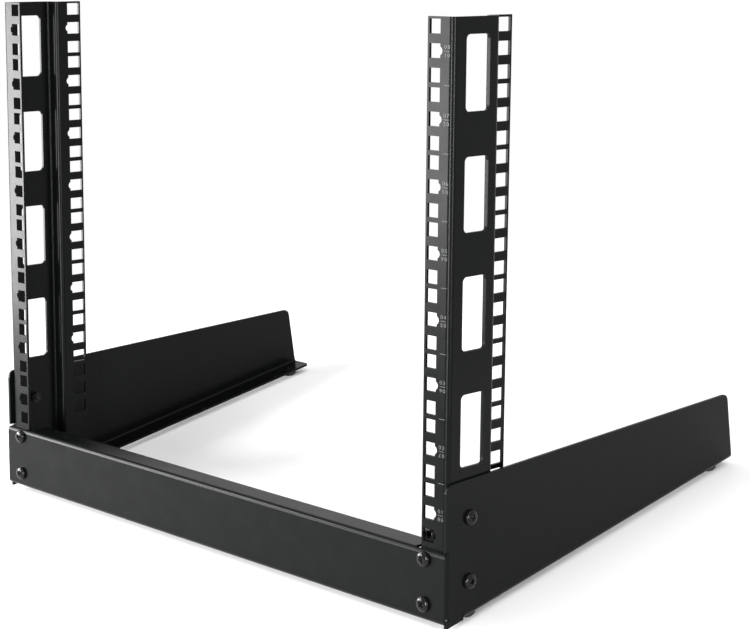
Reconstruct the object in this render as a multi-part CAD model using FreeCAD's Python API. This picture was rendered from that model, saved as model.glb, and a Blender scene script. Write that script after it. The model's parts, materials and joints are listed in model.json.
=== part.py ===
import FreeCAD, Part
import math
import os

V = FreeCAD.Vector

# Frame: X runs along the front beam, Y runs to the back, Z is up.
# The origin is on the floor, under the middle of the whole frame.

# Equipment pattern of a nineteen inch frame
rack_units = 8
unit_height = 44.45
hole_drops = (6.35, 22.225, 38.1)
column_spacing = 465.1
square_hole = 9.5
notch_width = 6.0
notch_depth = 1.9
edge_margin = 1.6

# Posts: flange, web, step inward and rear leg, folded from one sheet
post_sheet = 2.0
post_bend = 1.8
column_to_web = 16.45
web_depth = 46.5
leg_inset = 10.4
post_depth = 70.0
leg_hole_width = 12.0
post_tail = 34.0
lean_angle = 10.0

# Tall windows in the post webs
window_count = 4
window_height = 50.4
window_width = 23.4
window_front = 12.6
window_pitch = 80.0
window_drop = 11.5
window_corner = 3.5

# Side arms of the base
arm_sheet = 2.0
arm_bend = 1.8
arm_length = 342.0
arm_front_edge = 101.0
arm_rear_edge = 54.5
arm_corner = 6.0
arm_low_corner = 2.0
arm_flange = 20.5
arm_flange_corner = 3.0
arm_tab_margin = 5.5
arm_lead = 1.0
arm_drop = 56.5
fold_relief = 1.0

# Front beam
beam_sheet = 2.0
beam_bend = 1.4
beam_drop = 3.0
beam_lift = 3.1
beam_flange = 20.0
beam_corner = 2.5
beam_low_notch = 15.0
side_gap = 0.5
post_gap = 4.0

# Screws and nuts
screw_size = 5.0
hole_gap = 0.3
thread_gap = 0.05
screw_head = 11.0
screw_head_height = 3.4
screw_head_rim = 1.5
screw_head_round = 1.6
recess_length = 5.2
recess_width = 1.1
recess_depth = 1.5
nut_flats = 8.0
nut_height = 4.0
screw_end = 2.0
beam_screw_high = 9.5
beam_screw_low = 41.5
arm_screw_back = 21.5
arm_screw_high = 18.5
arm_screw_low = 26.5

# Cage nut in the lowest square hole of the right post
cage_width = 12.6
cage_height = 10.6
cage_depth = 3.6
cage_gap = 0.15
clip_height = 4.0
clip_reach = 1.0
clip_sheet = 0.6
cage_thread = 5.2

# Rubber feet and the rivets that hold them
foot_width = 13.6
foot_height = 5.0
foot_taper = 0.4
foot_chamfer = 1.4
foot_inset = 11.0
foot_front = 34.0
foot_rear = 17.5
rivet_size = 3.2
rivet_head = 6.0
rivet_head_height = 1.4
foot_recess = 7.4
foot_recess_depth = 2.2

# Sizes that follow from the ones above
lean = math.radians(lean_angle)
rack_height = rack_units * unit_height
column = column_spacing / 2
web_face = column + column_to_web
free_edge = column - square_hole / 2 - edge_margin
leg_face = web_face - leg_inset
leg_column = post_depth - edge_margin - leg_hole_width / 2
arm_outer = web_face + arm_sheet
tab_face = -arm_sheet
beam_face = tab_face - beam_sheet
arm_face = tab_face - arm_lead
beam_top = -beam_drop
beam_bottom = beam_lift - arm_drop
beam_top_notch = arm_outer - free_edge + post_gap
base_front = -arm_length / 2
screw_hole = screw_size + 2 * hole_gap
rivet_hole = rivet_size + 2 * hole_gap

# The posts and the beam lean back together, from the lowest front point of the arms
recline = FreeCAD.Placement(
    V(
        0,
        base_front - arm_face * math.cos(lean) + arm_drop * math.sin(lean),
        foot_height + arm_face * math.sin(lean) + arm_drop * math.cos(lean),
    ),
    FreeCAD.Rotation(V(1, 0, 0), -lean_angle),
)

# Turns a drawing to the side view, with Y to its right, or to the front view
side_view = FreeCAD.Placement(V(), FreeCAD.Rotation(V(0, 1, 0), V(0, 0, 1), V(1, 0, 0), "XYZ"))
front_view = FreeCAD.Placement(V(), FreeCAD.Rotation(V(1, 0, 0), V(0, 0, 1), V(0, -1, 0), "XYZ"))


def arc_at(before, corner, after, radius):
    """Start, middle and end of the arc that rounds a corner."""
    back = (before - corner).normalize()
    forth = (after - corner).normalize()
    half = back.getAngle(forth) / 2
    inward = (back + forth).normalize()
    start = corner + back * (radius / math.tan(half))
    middle = corner + inward * (radius / math.sin(half) - radius)
    end = corner + forth * (radius / math.tan(half))
    return start, middle, end


def edges_along(points, radii):
    """Straight and round edges along the points, with a radius for each inner point."""
    edges = []
    last = points[0]
    for before, corner, after, radius in zip(points, points[1:], points[2:], radii):
        if radius > 0:
            start, middle, end = arc_at(before, corner, after, radius)
            edges.append(Part.makeLine(last, start))
            edges.append(Part.Arc(start, middle, end).toShape())
            last = end
        else:
            edges.append(Part.makeLine(last, corner))
            last = corner
    edges.append(Part.makeLine(last, points[-1]))
    return edges


def face_in(edges):
    """Flat face inside a closed run of edges."""
    return Part.Face(Part.Wire(Part.__sortEdges__(edges)))


def outline(corners, radii):
    """Flat face with these corners, each rounded by its own radius."""
    middle = (corners[0] + corners[-1]) / 2
    return face_in(edges_along([middle] + corners + [middle], radii))


def rectangle(low_x, low_y, high_x, high_y, radius):
    """Flat rectangle with rounded corners."""
    corners = [V(low_x, low_y), V(high_x, low_y), V(high_x, high_y), V(low_x, high_y)]
    return outline(corners, [radius] * 4)


def folded(path, sheet, bend):
    """Flat section of a folded sheet. The path is one side of it, and the sheet lies on its left."""
    along = [(b - a).normalize() for a, b in zip(path, path[1:])]
    left = [V(-a.y, a.x) for a in along]
    other = [path[0] + left[0] * sheet]
    near = []
    far = []
    for corner, one, two in zip(path[1:-1], left, left[1:]):
        other.append(corner + (one + two) * (sheet / (1 + one.dot(two))))
        to_left = one.cross(two).z > 0
        near.append(bend + sheet if to_left else bend)
        far.append(bend if to_left else bend + sheet)
    other.append(path[-1] + left[-1] * sheet)
    edges = edges_along(path, near) + edges_along(other, far)
    edges.append(Part.makeLine(path[0], other[0]))
    edges.append(Part.makeLine(path[-1], other[-1]))
    return face_in(edges)


def raised(face, low, high):
    """Solid between two levels over a flat drawing."""
    solid = face.extrude(V(0, 0, high - low))
    solid.translate(V(0, 0, low))
    return solid


def from_side(face, low_x, high_x):
    """Solid between two X values, drawn in the side view."""
    return raised(face, low_x, high_x).transformed(side_view.Matrix)


def from_front(face, low_y, high_y):
    """Solid between two Y values, drawn in the front view."""
    return raised(face, -high_y, -low_y).transformed(front_view.Matrix)


def leaned(shape):
    """The shape moved from the posts' own frame to its reclined place on the base."""
    return shape.transformed(recline.Matrix)


def mirrored(shape):
    """The same piece for the other side."""
    return shape.mirror(V(), V(1, 0, 0))


def pattern():
    """Height of every square hole, and whether it is the middle one of its unit."""
    for unit in range(1, rack_units + 1):
        for drop in hole_drops:
            yield unit * unit_height - drop, drop == hole_drops[1]


def pattern_hole(width, height, has_notch):
    """Drawing of one hole at its height. The middle hole of a unit has a round notch on its right."""
    half_width = width / 2
    half_height = square_hole / 2
    hole = rectangle(-half_width, height - half_height, half_width, height + half_height, 0)
    if has_notch:
        centre = V(half_width + notch_depth - notch_width / 2, height)
        round_part = Part.Face(Part.Wire(Part.makeCircle(notch_width / 2, centre)))
        hole = hole.fuse(round_part).removeSplitter().Faces[0]
    return hole


def screw_bore(centre, direction, reach):
    """Round cutter for a screw hole, to both sides of its centre."""
    return Part.makeCylinder(screw_hole / 2, 2 * reach, centre - direction * reach, direction)


def front_holes():
    """Cutters for the square holes in the front flange of the right post."""
    for height, has_notch in pattern():
        hole = pattern_hole(square_hole, height, has_notch)
        hole.translate(V(column, 0))
        yield from_front(hole, -post_sheet, 2 * post_sheet)


def leg_holes():
    """Cutters for the holes in the rear leg of the right post, with the notches towards the web."""
    for height, has_notch in pattern():
        hole = pattern_hole(leg_hole_width, height, has_notch)
        hole = hole.mirror(V(), V(1, 0, 0))
        hole.translate(V(leg_column, 0))
        yield from_side(hole, leg_face - 2 * post_sheet, leg_face + post_sheet)


def web_windows():
    """Cutters for the tall windows in the web of the right post."""
    for number in range(window_count):
        top = rack_height - window_drop - number * window_pitch
        back = window_front + window_width
        window = rectangle(window_front, top - window_height, back, top, window_corner)
        yield from_side(window, web_face - 2 * post_sheet, web_face + post_sheet)


def arm_screw_places():
    """Centres of the two arm screws on the outer face of the right post's web."""
    for height in (arm_screw_high, -arm_screw_low):
        yield V(web_face, arm_screw_back, height)


def beam_screw_places():
    """Centres of the two beam screws at the right end, on the front face of the beam."""
    for height in (-beam_screw_high, -beam_screw_low):
        yield V(column, beam_face, height)


def right_post():
    """Folded post with its pattern holes, windows and screw holes, in the posts' own frame."""
    path = [
        V(free_edge, 0),
        V(web_face, 0),
        V(web_face, web_depth),
        V(leg_face, web_depth),
        V(leg_face, post_depth),
    ]
    post = raised(folded(path, post_sheet, post_bend), -post_tail, rack_height)
    cutters = list(front_holes()) + list(leg_holes()) + list(web_windows())
    for place in arm_screw_places():
        cutters.append(screw_bore(place, V(1, 0, 0), 3 * post_sheet))
    cutters.append(screw_bore(V(column, 0, -beam_screw_high), V(0, 1, 0), 3 * post_sheet))
    return post.cut(Part.makeCompound(cutters))


def side_point(back, up):
    """Point of the posts' own side view, moved to the side view of the whole frame."""
    place = recline.multVec(V(0, back, up))
    return V(place.y, place.z)


def arm_plate():
    """Plate of the right arm before its folds, with an upright rear end and a leaning front edge."""
    floor_line = foot_height
    rear = base_front + arm_length
    corners = [
        side_point(arm_face, -arm_drop),
        V(rear, floor_line),
        V(rear, floor_line + arm_rear_edge),
        side_point(arm_face, arm_front_edge - arm_drop),
    ]
    face = outline(corners, [arm_low_corner, 0, arm_corner, arm_corner])
    return from_side(face, arm_outer - arm_sheet, arm_outer)


def side_box(low_y, high_y, low_z, high_z):
    """Box across the right arm's plate, to cut it with."""
    corner = V(arm_outer - 2 * arm_sheet, low_y, low_z)
    return Part.makeBox(4 * arm_sheet, high_y - low_y, high_z - low_z, corner)


def arm_tab():
    """Front tab of the right arm, and the spaces cut from the plate for it, in the posts' own frame."""
    bend_end = tab_face + arm_bend + arm_sheet
    low = beam_bottom + beam_sheet + beam_bend + side_gap
    path = [V(column - arm_tab_margin, tab_face), V(arm_outer, tab_face), V(arm_outer, 2 * bend_end)]
    tab = raised(folded(path, arm_sheet, arm_bend), low, beam_top)
    space = side_box(2 * tab_face - bend_end, bend_end, low - fold_relief, beam_top + fold_relief)
    under = side_box(2 * tab_face - bend_end, tab_face + side_gap, -2 * arm_drop, low)
    return tab, space, under


def arm_foot_flange():
    """Flange along the foot of the right arm with its bend, and the space cut from the plate for it."""
    bend_end = arm_bend + arm_sheet
    front = side_point(beam_face + beam_flange, beam_bottom).x + side_gap + fold_relief
    rear = base_front + arm_length
    path = [V(arm_outer - arm_flange, 0), V(arm_outer, 0), V(arm_outer, 2 * bend_end)]
    flange = from_front(folded(path, arm_sheet, arm_bend), front, rear)
    corners = [
        V(arm_outer - arm_flange, front),
        V(arm_outer, front),
        V(arm_outer, rear),
        V(arm_outer - arm_flange, rear),
    ]
    plan = outline(corners, [arm_flange_corner, 0, 0, arm_flange_corner])
    flange = flange.common(raised(plan, 0, 3 * bend_end))
    flange.translate(V(0, 0, foot_height))
    space = side_box(front - fold_relief, 2 * rear, foot_height, foot_height + bend_end)
    return flange, space


def foot_places():
    """Centres of the two feet of the right arm, on the underside of its flange."""
    for back in (base_front + foot_front, base_front + arm_length - foot_rear):
        yield V(arm_outer - foot_inset, back, foot_height)


def right_arm():
    """Right arm: plate, front tab and foot flange, with its screw and rivet holes."""
    tab, tab_space, under_tab = arm_tab()
    flange, flange_space = arm_foot_flange()
    arm = arm_plate().cut([leaned(tab_space), leaned(under_tab), flange_space])
    arm = arm.fuse([leaned(tab), flange]).removeSplitter()
    cutters = []
    for place in arm_screw_places():
        cutters.append(leaned(screw_bore(place, V(1, 0, 0), 3 * arm_sheet)))
    for place in beam_screw_places():
        cutters.append(leaned(screw_bore(place, V(0, 1, 0), 3 * arm_sheet)))
    for place in foot_places():
        cutters.append(Part.makeCylinder(rivet_hole / 2, 4 * arm_sheet, place - V(0, 0, arm_sheet)))
    return arm.cut(Part.makeCompound(cutters))


def front_beam():
    """Channel open to the back, with its flanges cut clear of the posts and the arms at its ends."""
    back = beam_face + beam_flange
    path = [
        V(back, beam_bottom),
        V(beam_face, beam_bottom),
        V(beam_face, beam_top),
        V(back, beam_top),
    ]
    section = folded(path[::-1], beam_sheet, beam_bend)
    beam = from_side(section, -arm_outer, arm_outer)
    front = rectangle(-arm_outer, beam_bottom, arm_outer, beam_top, beam_corner)
    beam = beam.common(from_front(front, beam_face - beam_sheet, back))
    cutters = []
    for side in (-1, 1):
        for notch, level in ((beam_top_notch, beam_top), (beam_low_notch, beam_bottom)):
            tall = 2 * (beam_sheet + beam_bend)
            corner = V(side * arm_outer - notch, beam_face + beam_sheet, level - tall / 2)
            cutters.append(Part.makeBox(2 * notch, beam_flange, tall, corner))
        for place in beam_screw_places():
            cutters.append(screw_bore(V(side * place.x, place.y, place.z), V(0, 1, 0), 3 * beam_sheet))
    return beam.cut(Part.makeCompound(cutters))


def pan_screw(length):
    """Pan head screw with a cross recess: its seat at the origin, its head above, its shank below."""
    head = screw_head / 2
    size = screw_size / 2
    profile = [
        V(0, 0, -length),
        V(size, 0, -length),
        V(size, 0, 0),
        V(head, 0, 0),
        V(head, 0, screw_head_rim),
        V(head - screw_head_round, 0, screw_head_height),
        V(0, 0, screw_head_height),
        V(0, 0, -length),
    ]
    screw = Part.Face(Part.makePolygon(profile)).revolve(V(), V(0, 0, 1), 360)
    floor = screw_head_height - recess_depth
    for long, wide in ((recess_length, recess_width), (recess_width, recess_length)):
        slot = Part.makeBox(long, wide, 2 * recess_depth, V(-long / 2, -wide / 2, floor))
        screw = screw.cut(slot)
    return screw


def hex_nut():
    """Hexagon nut with its seat at the origin, below it."""
    corner = nut_flats / math.sqrt(3)
    angles = [math.radians(60 * number) for number in range(7)]
    points = [V(corner * math.cos(angle), corner * math.sin(angle)) for angle in angles]
    nut = raised(Part.Face(Part.makePolygon(points)), -nut_height, 0)
    bore = Part.makeCylinder(screw_size / 2 + thread_gap, 2 * nut_height, V(0, 0, -1.5 * nut_height))
    return nut.cut(bore)


def cage_nut():
    """Nut in a spring cage, clipped into a square hole at the origin of a sheet with its face at Y 0."""
    body = square_hole / 2 - cage_gap
    clip = clip_height / 2
    back = post_sheet + thread_gap
    front = -thread_gap - clip_sheet
    parts = [
        (V(-cage_width / 2, back, -cage_height / 2), V(cage_width / 2, back + cage_depth, cage_height / 2)),
        (V(-body, clip_sheet, -body), V(body, back + clip_sheet, body)),
    ]
    for low, high in ((-body, clip_reach - body), (body - clip_reach, body)):
        parts.append((V(low, front, -clip), V(high, back, clip)))
    for low, high in ((-body - clip_reach, -body), (body, body + clip_reach)):
        parts.append((V(low, front, -clip), V(high, front + clip_sheet, clip)))
    boxes = [Part.makeBox(*(high - low), low) for low, high in parts]
    nut = boxes[0].fuse(boxes[1:]).removeSplitter()
    reach = 2 * (cage_depth + post_sheet)
    return nut.cut(Part.makeCylinder(cage_thread / 2, 2 * reach, V(0, -reach, 0), V(0, 1, 0)))


def seated(shape, place, axis):
    """The shape with its Z turned to the axis and its origin moved to the place."""
    return shape.transformed(FreeCAD.Placement(place, FreeCAD.Rotation(V(0, 0, 1), axis)).Matrix)


def right_fasteners():
    """Screws and nuts of the right side, by name."""
    levels = ("high", "low")
    for level, place in zip(levels, beam_screw_places()):
        on_post = -place.z < post_tail
        stack = beam_sheet + arm_sheet + (post_sheet if on_post else 0)
        screw = pan_screw(stack + nut_height + screw_end)
        yield "beam_screw_" + level, leaned(seated(screw, place, V(0, -1, 0)))
        yield "beam_nut_" + level, leaned(seated(hex_nut(), place + V(0, stack, 0), V(0, -1, 0)))
    for level, place in zip(levels, arm_screw_places()):
        screw = pan_screw(arm_sheet + post_sheet + nut_height + screw_end)
        yield "arm_screw_" + level, leaned(seated(screw, place + V(arm_sheet, 0, 0), V(1, 0, 0)))
        yield "arm_nut_" + level, leaned(seated(hex_nut(), place - V(post_sheet, 0, 0), V(1, 0, 0)))


def rubber_foot():
    """Round foot that hangs from the origin, tapered, with a bore and a recess for its rivet."""
    top = foot_width / 2
    low = top - foot_taper
    profile = [
        V(rivet_hole / 2, 0, 0),
        V(top, 0, 0),
        V(low, 0, foot_chamfer - foot_height),
        V(low - foot_chamfer, 0, -foot_height),
        V(foot_recess / 2, 0, -foot_height),
        V(foot_recess / 2, 0, foot_recess_depth - foot_height),
        V(rivet_hole / 2, 0, foot_recess_depth - foot_height),
        V(rivet_hole / 2, 0, 0),
    ]
    return Part.Face(Part.makePolygon(profile)).revolve(V(), V(0, 0, 1), 360)


def foot_rivet():
    """Rivet through the foot and the flange, with its low head in the foot's recess."""
    size = rivet_size / 2
    head = rivet_head / 2
    low_seat = foot_recess_depth - foot_height
    profile = [
        V(0, 0, low_seat - rivet_head_height),
        V(head, 0, low_seat - rivet_head_height),
        V(head, 0, low_seat),
        V(size, 0, low_seat),
        V(size, 0, arm_sheet),
        V(head, 0, arm_sheet),
        V(head, 0, arm_sheet + rivet_head_height),
        V(0, 0, arm_sheet + rivet_head_height),
        V(0, 0, low_seat - rivet_head_height),
    ]
    return Part.Face(Part.makePolygon(profile)).revolve(V(), V(0, 0, 1), 360)


def right_feet():
    """Feet and rivets of the right arm, by name."""
    for end, place in zip(("front", "rear"), foot_places()):
        for name, piece in (("foot", rubber_foot()), ("rivet", foot_rivet())):
            piece.translate(place)
            yield name + "_" + end, piece


def both_sides(name, shape):
    """A piece of the right side and its mirror image, by name."""
    yield "right_" + name, shape
    yield "left_" + name, mirrored(shape)


def all_pieces():
    """Every piece of the frame, by name."""
    yield "front_beam", leaned(front_beam())
    yield from both_sides("post", leaned(right_post()))
    yield from both_sides("arm", right_arm())
    for name, shape in right_fasteners():
        yield from both_sides(name, shape)
    lowest = min(height for height, has_notch in pattern())
    yield "right_cage_nut", leaned(cage_nut().translated(V(column, 0, lowest)))
    for name, shape in right_feet():
        yield from both_sides(name, shape)


pieces = {node: shape.Solids[0] for node, shape in all_pieces()}
whole = Part.makeCompound(list(pieces.values())).optimalBoundingBox(False, False)
to_middle = V(0, -whole.Center.y, 0)
print("Moved to the middle by", round(to_middle.y, 4))

os.makedirs("parts", exist_ok=True)
for node, shape in pieces.items():
    shape.translate(to_middle)
    shape.exportStep("parts/" + node + ".step")
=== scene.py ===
import json
import math

import bpy
from mathutils import Matrix, Vector


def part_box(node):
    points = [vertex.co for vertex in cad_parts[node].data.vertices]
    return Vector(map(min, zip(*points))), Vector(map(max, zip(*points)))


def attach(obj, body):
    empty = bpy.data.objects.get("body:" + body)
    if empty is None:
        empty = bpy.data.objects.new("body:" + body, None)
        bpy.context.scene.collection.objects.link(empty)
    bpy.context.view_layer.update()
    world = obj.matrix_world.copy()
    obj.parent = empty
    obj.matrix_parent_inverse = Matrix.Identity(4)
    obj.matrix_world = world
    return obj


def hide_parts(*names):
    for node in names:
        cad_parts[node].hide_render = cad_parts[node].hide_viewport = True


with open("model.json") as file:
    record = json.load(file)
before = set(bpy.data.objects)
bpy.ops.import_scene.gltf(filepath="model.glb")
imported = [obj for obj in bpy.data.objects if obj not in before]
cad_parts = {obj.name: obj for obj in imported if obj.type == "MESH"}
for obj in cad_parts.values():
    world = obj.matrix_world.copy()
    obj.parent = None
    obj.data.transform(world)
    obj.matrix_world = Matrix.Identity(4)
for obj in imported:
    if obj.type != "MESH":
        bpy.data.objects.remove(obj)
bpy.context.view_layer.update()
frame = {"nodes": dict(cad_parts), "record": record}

nodes = frame["nodes"]
record = frame["record"]
mounts = {mount["name"]: mount for mount in record["mounts"]}
slots = {part["node"]: part["material_slot"] for part in record["subparts"]}

# Lengths are in metres, apart from those of the screws and the cage nut, which are in millimetres
MM = 0.001
UNIT = 44.45 * MM
UNITS = 8
LOWEST_HOLE = UNIT - 38.1 * MM
QUARTER_TURN = math.radians(90.0)

# The posts' own frame: X along the beam, Y back from the post face, Z up from the lowest unit
column = mounts["right_hole_column"]
LEAN = math.asin(column["axis"][2])
HOLE_COLUMN = column["pos_m"][0]
COLUMN_MIDDLE = Matrix.Translation(column["pos_m"])
TO_ORIGIN = Matrix.Translation((-HOLE_COLUMN, 0.0, -UNITS * UNIT / 2))
POST_FRAME = COLUMN_MIDDLE @ Matrix.Rotation(-LEAN, 4, "X") @ TO_ORIGIN

# Faces that the screws' heads stand on, in the posts' own frame
BEAM_FACE = -4.0 * MM
ARM_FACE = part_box("right_arm")[1][0]

# Printed marks beside the right post's holes
MARK_COLUMN = HOLE_COLUMN + 10.75 * MM
INK_LIFT = 0.04 * MM
DIGIT_SIZE = 3.7 * MM
DIGIT_THINNING = 0.02 * MM
DIGIT_GAP = 1.2
DIGIT_STRETCH = 1.3
DIGIT_DISTANCE = 2.6 * MM
LINE_LENGTH = 5.0 * MM
LINE_WIDTH = 0.3 * MM


def put(name, data):
    """New object with this data in the scene."""
    thing = bpy.data.objects.new(name, data)
    bpy.context.scene.collection.objects.link(thing)
    return thing


def shader(name, color, roughness, specular):
    """Material with its node tree and the inputs of its principled shader."""
    material = bpy.data.materials.new(name)
    material.use_nodes = True
    tree = material.node_tree
    inputs = tree.nodes["Principled BSDF"].inputs
    inputs["Base Color"].default_value = (*color, 1.0)
    inputs["Roughness"].default_value = roughness
    inputs["Specular IOR Level"].default_value = specular
    return material, tree, inputs


def own_coordinates(tree):
    """The object's own coordinates in metres."""
    return tree.nodes.new("ShaderNodeTexCoord").outputs["Object"]


def noise(tree, scale, detail):
    """Factor of a noise texture, with its scale in waves per metre."""
    node = tree.nodes.new("ShaderNodeTexNoise")
    node.inputs["Scale"].default_value = scale
    node.inputs["Detail"].default_value = detail
    tree.links.new(own_coordinates(tree), node.inputs["Vector"])
    return node.outputs["Fac"]


def remap(tree, factor, low, high, factor_low=0.3, factor_high=0.7):
    """Value between two limits, from the span that a noise factor mostly keeps to."""
    node = tree.nodes.new("ShaderNodeMapRange")
    node.inputs["From Min"].default_value = factor_low
    node.inputs["From Max"].default_value = factor_high
    node.inputs["To Min"].default_value = low
    node.inputs["To Max"].default_value = high
    tree.links.new(factor, node.inputs["Value"])
    return node.outputs["Result"]


def bump(tree, height, strength, distance):
    """Normal of a surface that is raised by up to this distance."""
    node = tree.nodes.new("ShaderNodeBump")
    node.inputs["Strength"].default_value = strength
    node.inputs["Distance"].default_value = distance
    tree.links.new(height, node.inputs["Height"])
    return node.outputs["Normal"]


def mixed_color(tree, factor, first, second):
    """Colour between two others, by a factor."""
    node = tree.nodes.new("ShaderNodeMix")
    node.data_type = "RGBA"
    node.inputs["A"].default_value = (*first, 1.0)
    node.inputs["B"].default_value = (*second, 1.0)
    tree.links.new(factor, node.inputs["Factor"])
    return node.outputs["Result"]


def powder_coat():
    """Black powder coat: a fine sand texture with a soft, slightly uneven sheen."""
    material, tree, inputs = shader("powder_coat", (0.0024, 0.003, 0.0027), roughness=0.25, specular=0.09)
    grain = noise(tree, scale=900.0, detail=3.0)
    wide = noise(tree, scale=60.0, detail=2.0)
    tree.links.new(remap(tree, wide, 0.23, 0.28), inputs["Roughness"])
    tree.links.new(bump(tree, grain, strength=0.22, distance=0.04 * MM), inputs["Normal"])
    return material


def black_steel():
    """Gloss black steel of the screws, nuts and rivets."""
    material, tree, inputs = shader("black_steel", (0.003, 0.003, 0.0032), roughness=0.08, specular=0.2)
    grain = noise(tree, scale=900.0, detail=2.0)
    tree.links.new(bump(tree, grain, strength=0.1, distance=0.02 * MM), inputs["Normal"])
    return material


def spring_steel():
    """Dull black steel of the cage nut, uneven in its sheen."""
    material, tree, inputs = shader("spring_steel", (0.002, 0.002, 0.002), roughness=0.15, specular=0.04)
    grain = noise(tree, scale=1400.0, detail=2.0)
    tree.links.new(remap(tree, grain, 0.1, 0.2), inputs["Roughness"])
    return material


def rubber():
    """Matt black rubber of the feet."""
    material, tree, inputs = shader("rubber", (0.012, 0.012, 0.012), roughness=0.6, specular=0.4)
    grain = noise(tree, scale=1200.0, detail=2.0)
    tree.links.new(bump(tree, grain, strength=0.2, distance=0.2 * MM), inputs["Normal"])
    return material


def ink():
    """Grey print, a little uneven in its cover."""
    thin, full = (0.06, 0.063, 0.063), (0.11, 0.113, 0.113)
    material, tree, inputs = shader("grey_ink", full, roughness=0.5, specular=0.3)
    cover = noise(tree, scale=2600.0, detail=2.0)
    tree.links.new(mixed_color(tree, cover, thin, full), inputs["Base Color"])
    return material


def paint(node, material):
    """Puts the material in every slot of the node."""
    data = node.data
    if not data.materials:
        data.materials.append(material)
    for index in range(len(data.materials)):
        data.materials[index] = material


def flat_mesh(name, width, height):
    """Flat rectangle, centred on zero."""
    right, top = width / 2, height / 2
    mesh = bpy.data.meshes.new(name)
    corners = [(-right, -top, 0.0), (right, -top, 0.0), (right, top, 0.0), (-right, top, 0.0)]
    mesh.from_pydata(corners, [], [(0, 1, 2, 3)])
    return mesh


def digits(name, value):
    """Two digits in plain type, centred on zero."""
    curve = bpy.data.curves.new(name, "FONT")
    curve.body = "%02d" % value
    curve.size = DIGIT_SIZE
    curve.space_character = DIGIT_GAP
    curve.offset = -DIGIT_THINNING
    curve.resolution_u = 3
    curve.align_x = "CENTER"
    curve.align_y = "CENTER"
    return curve


def mark(name, data, height, turned=False, stretch=1.0):
    """Printed piece on the front of the right post, upright or turned half round."""
    data.materials.append(print_ink)
    place = Matrix.Translation((MARK_COLUMN, -INK_LIFT, height))
    upright = Matrix.Rotation(QUARTER_TURN, 4, "X")
    spin = Matrix.Rotation(math.pi if turned else 0.0, 4, "Z")
    thing = put(name, data)
    thing.matrix_world = POST_FRAME @ place @ upright @ spin @ Matrix.Diagonal((stretch, 1.0, 1.0, 1.0))
    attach(thing, "root")


def markings():
    """Unit numbers counted from the bottom, and from the top upside down, with a line at each unit."""
    for unit in range(1, UNITS + 1):
        label = "mark_%d" % unit
        middle = (unit - 0.5) * UNIT
        up = digits(label + "_up_digits", unit)
        down = digits(label + "_down_digits", UNITS + 1 - unit)
        mark(label + "_up", up, middle + DIGIT_DISTANCE, stretch=DIGIT_STRETCH)
        mark(label + "_down", down, middle - DIGIT_DISTANCE, turned=True, stretch=DIGIT_STRETCH)
        mark(label + "_line", flat_mesh(label + "_line", LINE_LENGTH, LINE_WIDTH), middle)
        if unit < UNITS:
            mark(label + "_tick", flat_mesh(label + "_tick", LINE_LENGTH, LINE_WIDTH), unit * UNIT)


def turned_mesh(name, profile, around):
    """Closed mesh turned about Z from radii and rising heights, in millimetres."""
    points = [(0.0, 0.0, profile[0][1] * MM)]
    for radius, height in profile:
        for step in range(around):
            angle = 2 * math.pi * step / around
            points.append((radius * MM * math.cos(angle), radius * MM * math.sin(angle), height * MM))
    points.append((0.0, 0.0, profile[-1][1] * MM))
    last = len(points) - 1
    faces = []
    for step in range(around):
        other = (step + 1) % around
        faces.append((0, 1 + other, 1 + step))
        for ring in range(len(profile) - 1):
            low = 1 + ring * around
            faces.append((low + step, low + other, low + around + other, low + around + step))
        faces.append((last - around + step, last - around + other, last))
    mesh = bpy.data.meshes.new(name)
    mesh.from_pydata(points, [], faces)
    return mesh


def wedge_mesh(name, low, low_half, high, high_half):
    """Block along Z between two heights in millimetres, given by its half sizes at each end."""
    points = []
    for z, (half_x, half_y) in ((low, low_half), (high, high_half)):
        points += [(-half_x, -half_y, z), (half_x, -half_y, z), (half_x, half_y, z), (-half_x, half_y, z)]
    faces = [(3, 2, 1, 0), (4, 5, 6, 7), (0, 1, 5, 4), (1, 2, 6, 5), (2, 3, 7, 6), (3, 0, 4, 7)]
    mesh = bpy.data.meshes.new(name)
    mesh.from_pydata([[value * MM for value in point] for point in points], [], faces)
    return mesh


def box_mesh(name, low, high):
    """Block between two corners in millimetres."""
    middle = [(a + b) / 2 for a, b in zip(low, high)]
    half = [(b - a) / 2 for a, b in zip(low, high)]
    mesh = wedge_mesh(name, -half[2], half[:2], half[2], half[:2])
    mesh.transform(Matrix.Translation([value * MM for value in middle]))
    return mesh


def joined_mesh(name, body, added, removed, material, bevel=0.0):
    """One closed mesh from a body, the meshes added to it and those cut from it, with rounded edges."""
    thing = put(name, body)
    tools = []
    for operation, meshes in (("UNION", added), ("DIFFERENCE", removed)):
        for mesh in meshes:
            change = thing.modifiers.new("change", "BOOLEAN")
            change.operation = operation
            change.solver = "EXACT"
            change.object = put("tool", mesh)
            tools.append(change.object)
    if bevel:
        edge = thing.modifiers.new("edge", "BEVEL")
        edge.width = bevel * MM
        edge.segments = 2
        edge.limit_method = "ANGLE"
        edge.angle_limit = math.radians(40.0)
    bpy.context.view_layer.update()
    depsgraph = bpy.context.evaluated_depsgraph_get()
    mesh = bpy.data.meshes.new_from_object(thing.evaluated_get(depsgraph))
    for extra in tools + [thing]:
        bpy.data.objects.remove(extra)
    mesh.materials.clear()
    mesh.materials.append(material)
    mesh.shade_smooth()
    mesh.set_sharp_from_angle(angle=math.radians(32.0))
    return mesh


def stand_in(name, mesh, seat, node):
    """Puts a copy of the mesh, moved to its seat in the posts' own frame, in the place of a node."""
    mesh = mesh.copy()
    mesh.transform(POST_FRAME @ seat)
    thing = put(name, mesh)
    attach(thing, "root")
    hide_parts(node)


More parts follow.
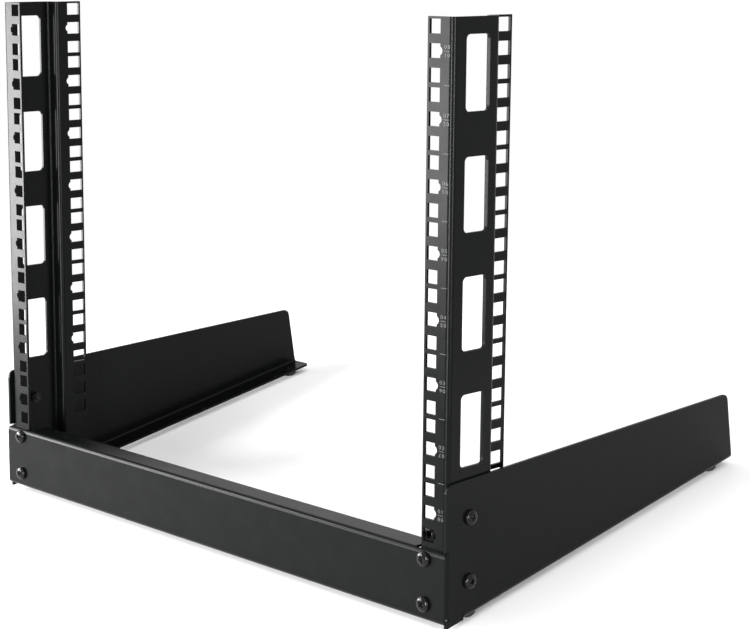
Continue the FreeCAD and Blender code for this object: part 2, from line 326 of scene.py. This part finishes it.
def screw_mesh(name, length):
    """Pan head screw with a domed head, a cross recess with sloped ends and a threaded shank."""
    tip_radius, tip_height = 1.9, 0.5
    thread_radius, root_radius, pitch, thread_end = 2.48, 2.2, 0.8, -4.4
    head_radius, edge_radius, rim_height, dome_height = 5.5, 0.2, 1.2, 2.2
    dome_steps, dome_angle, dome_power = 6, 14.5, 0.77
    profile = [(tip_radius, -length)]
    height = tip_height - length
    while height < thread_end:
        profile += [(thread_radius, height), (root_radius, height + pitch / 2)]
        height += pitch
    profile += [(thread_radius, height), (thread_radius, 0.0)]
    profile += [(head_radius - edge_radius, 0.0), (head_radius, edge_radius), (head_radius, rim_height)]
    for step in range(1, dome_steps + 1):
        angle = math.radians(dome_angle * step)
        across = head_radius * math.cos(angle) ** dome_power
        profile.append((across, rim_height + dome_height * math.sin(angle) ** dome_power))

    recess_floor, recess_top = 1.5, 3.6
    floor_half, top_half = (1.2, 0.42), (2.75, 0.62)
    recess = [
        wedge_mesh("recess", recess_floor, floor_half, recess_top, top_half),
        wedge_mesh("recess", recess_floor, floor_half[::-1], recess_top, top_half[::-1]),
    ]
    return joined_mesh(name, turned_mesh(name, profile, around=40), [], recess, looks["black_steel"])


def screws():
    """Domed screws in place of the plain ones, each turned a little differently."""
    long_screw = screw_mesh("screw_12", 12.0)
    short_screw = screw_mesh("screw_10", 10.0)
    forward = Matrix.Rotation(QUARTER_TURN, 4, "X")
    first_turn, next_turn = 17.0, 31.0
    for side, label in ((1, "right"), (-1, "left")):
        outward = Matrix.Rotation(side * QUARTER_TURN, 4, "Y")
        beam_x, arm_x, arm_y = side * HOLE_COLUMN, side * ARM_FACE, 21.5 * MM
        places = {
            "beam_screw_high": (long_screw, (beam_x, BEAM_FACE, -9.5 * MM), forward),
            "beam_screw_low": (short_screw, (beam_x, BEAM_FACE, -41.5 * MM), forward),
            "arm_screw_high": (short_screw, (arm_x, arm_y, 18.5 * MM), outward),
            "arm_screw_low": (short_screw, (arm_x, arm_y, -26.5 * MM), outward),
        }
        for index, (kind, (mesh, place, turn)) in enumerate(places.items()):
            spin = Matrix.Rotation(math.radians(first_turn + next_turn * index * side), 4, "Z")
            node = "%s_%s" % (label, kind)
            stand_in(node + "_dome", mesh, Matrix.Translation(place) @ turn @ spin, node)


def cage_nut():
    """Nut in a folded spring cage behind the lowest square hole, with ears that clip through it."""
    half_width, half_height = 6.3, 5.3
    front, back, spring_sheet = 2.05, 5.65, 0.6
    fold = front + 0.25
    nut_half_width, nut_half_height = 4.4, 4.2
    nut_front, nut_back = 0.7, back - 0.05
    plate_back = front + spring_sheet
    plate = box_mesh("plate", (-half_width, front, -half_height), (half_width, plate_back, half_height))
    nut_low = (-nut_half_width, nut_front, -nut_half_height)
    nut_high = (nut_half_width, nut_back, nut_half_height)
    added = [box_mesh("nut", nut_low, nut_high)]

    # Folded parts of the cage: span from its middle, span from the post's face, half height
    folds = {
        "ear": ((3.7, 4.6), (-0.6, fold), 2.0),
        "lip": ((4.3, 5.6), (-0.65, -0.05), 2.0),
        "wall": ((half_width - spring_sheet, half_width), (fold, back), 4.0),
    }
    for side in (-1, 1):
        for name, (across, deep, half) in folds.items():
            near, far = sorted(side * distance for distance in across)
            added.append(box_mesh(name, (near, deep[0], -half), (far, deep[1], half)))

    # The bore runs on past both faces of the nut, and widens where it starts
    bore_radius, mouth_radius = 2.35, 2.8
    past_back, mouth_floor, mouth_rim, past_front = -7.0, -1.1, -0.65, 3.0
    profile = [(bore_radius, past_back), (bore_radius, mouth_floor)]
    profile += [(mouth_radius, mouth_rim), (mouth_radius, past_front)]
    bore = turned_mesh("bore", profile, around=32)
    bore.transform(Matrix.Rotation(QUARTER_TURN, 4, "X"))
    return joined_mesh("cage_nut", plate, added, [bore], spring, bevel=0.12)


def combined(tree, operation, first, second):
    """Sum or product of two values, held between zero and one."""
    node = tree.nodes.new("ShaderNodeMath")
    node.operation = operation
    node.use_clamp = True
    tree.links.new(first, node.inputs[0])
    tree.links.new(second, node.inputs[1])
    return node.outputs[0]


def seen_factor(tree):
    """One for rays of the camera, of gloss and of glass, zero for those that light the object."""
    path = tree.nodes.new("ShaderNodeLightPath").outputs
    total = combined(tree, "ADD", path["Is Camera Ray"], path["Is Glossy Ray"])
    return combined(tree, "ADD", total, path["Is Transmission Ray"])


def studio_floor():
    """Pale floor that keeps the shadow near the object and runs out into plain white."""
    floor_size, shadow_end, white_start = 60.0, 0.3, 0.9
    lighting_grey, seen_grey = (0.55, 0.55, 0.55), (0.98, 0.98, 0.98)
    material, tree, inputs = shader("floor", seen_grey, roughness=0.9, specular=0.0)
    seen = seen_factor(tree)
    tree.links.new(mixed_color(tree, seen, lighting_grey, seen_grey), inputs["Base Color"])

    distance = tree.nodes.new("ShaderNodeVectorMath")
    distance.operation = "LENGTH"
    tree.links.new(own_coordinates(tree), distance.inputs[0])
    far = tree.nodes.new("ShaderNodeMapRange")
    far.interpolation_type = "SMOOTHSTEP"
    far.inputs["From Min"].default_value = shadow_end
    far.inputs["From Max"].default_value = white_start
    tree.links.new(distance.outputs["Value"], far.inputs["Value"])

    white = tree.nodes.new("ShaderNodeEmission")
    blend = tree.nodes.new("ShaderNodeMixShader")
    tree.links.new(combined(tree, "MULTIPLY", seen, far.outputs["Result"]), blend.inputs["Fac"])
    tree.links.new(tree.nodes["Principled BSDF"].outputs["BSDF"], blend.inputs[1])
    tree.links.new(white.outputs["Emission"], blend.inputs[2])
    tree.links.new(blend.outputs["Shader"], tree.nodes["Material Output"].inputs["Surface"])

    plane = put("floor", flat_mesh("floor", floor_size, floor_size))
    plane.data.materials.append(material)


def studio_world():
    """White surroundings that are seen in full and light the object a little less."""
    world = bpy.data.worlds.new("studio")
    world.use_nodes = True
    tree = world.node_tree
    sky = tree.nodes["Background"]
    sky.inputs["Color"].default_value = (1.0, 1.0, 1.0, 1.0)
    strength = remap(tree, seen_factor(tree), 0.6, 1.0, factor_low=0.0, factor_high=1.0)
    tree.links.new(strength, sky.inputs["Strength"])
    bpy.context.scene.world = world


def softbox(name, place, target, size, power):
    """Soft area light that faces a point."""
    light = bpy.data.lights.new(name, "AREA")
    light.shape = "RECTANGLE"
    light.size, light.size_y = size
    light.energy = power
    lamp = put(name, light)
    lamp.location = place
    lamp.rotation_euler = (Vector(target) - Vector(place)).to_track_quat("-Z", "Y").to_euler()


def studio_camera():
    """Camera at the photograph's viewing angle, shifted because the photograph is a crop."""
    tilt, roll, heading = math.radians(73.1666), math.radians(7.1346), math.radians(45.8272)
    data = bpy.data.cameras.new("camera")
    data.sensor_width = 36.0
    data.lens = 92.637
    data.shift_x = 0.1
    data.shift_y = -0.0327
    data.clip_start = 0.05
    data.clip_end = 100.0
    camera = put("camera", data)
    camera.location = (1.08434, -1.01082, 0.61209)
    camera.rotation_euler = (tilt, roll, heading)
    bpy.context.scene.camera = camera


looks = {"powder_coat": powder_coat(), "black_steel": black_steel(), "rubber": rubber()}
spring = spring_steel()
print_ink = ink()
for name, node in nodes.items():
    paint(node, spring if "cage" in name else looks[slots[name]])

markings()
screws()
nut_seat = Matrix.Translation((HOLE_COLUMN, 0.0, LOWEST_HOLE))
stand_in("right_cage_nut_detail", cage_nut(), nut_seat, "right_cage_nut")

# Lamps: place, the point that each one faces, width and height, watts
lamps = {
    "key_left": ((-1.767, -1.217, 0.32), (-0.2, -0.1, 0.2), (0.7, 0.6), 48.0),
    "key_front": ((-1.242, -1.735, 0.5), (0.2, -0.1, 0.2), (0.5, 0.6), 20.0),
    "tall_left": ((-1.5, -1.04, 1.1), (0.0, -0.17, 0.08), (0.5, 0.9), 38.0),
    "overhead": ((0.0, 0.2, 3.2), (0.0, 0.0, 0.1), (3.0, 2.4), 25.0),
    "front_strip": ((0.68, -2.05, 0.5), (0.23, -0.1, 0.2), (0.22, 0.9), 48.0),
    "right_strip": ((2.14, -0.68, 0.5), (0.23, -0.1, 0.2), (0.22, 0.9), 32.0),
}
studio_floor()
studio_world()
for name, (place, target, size, power) in lamps.items():
    softbox(name, place, target, size, power)
studio_camera()
bpy.context.scene.view_settings.view_transform = "Standard"
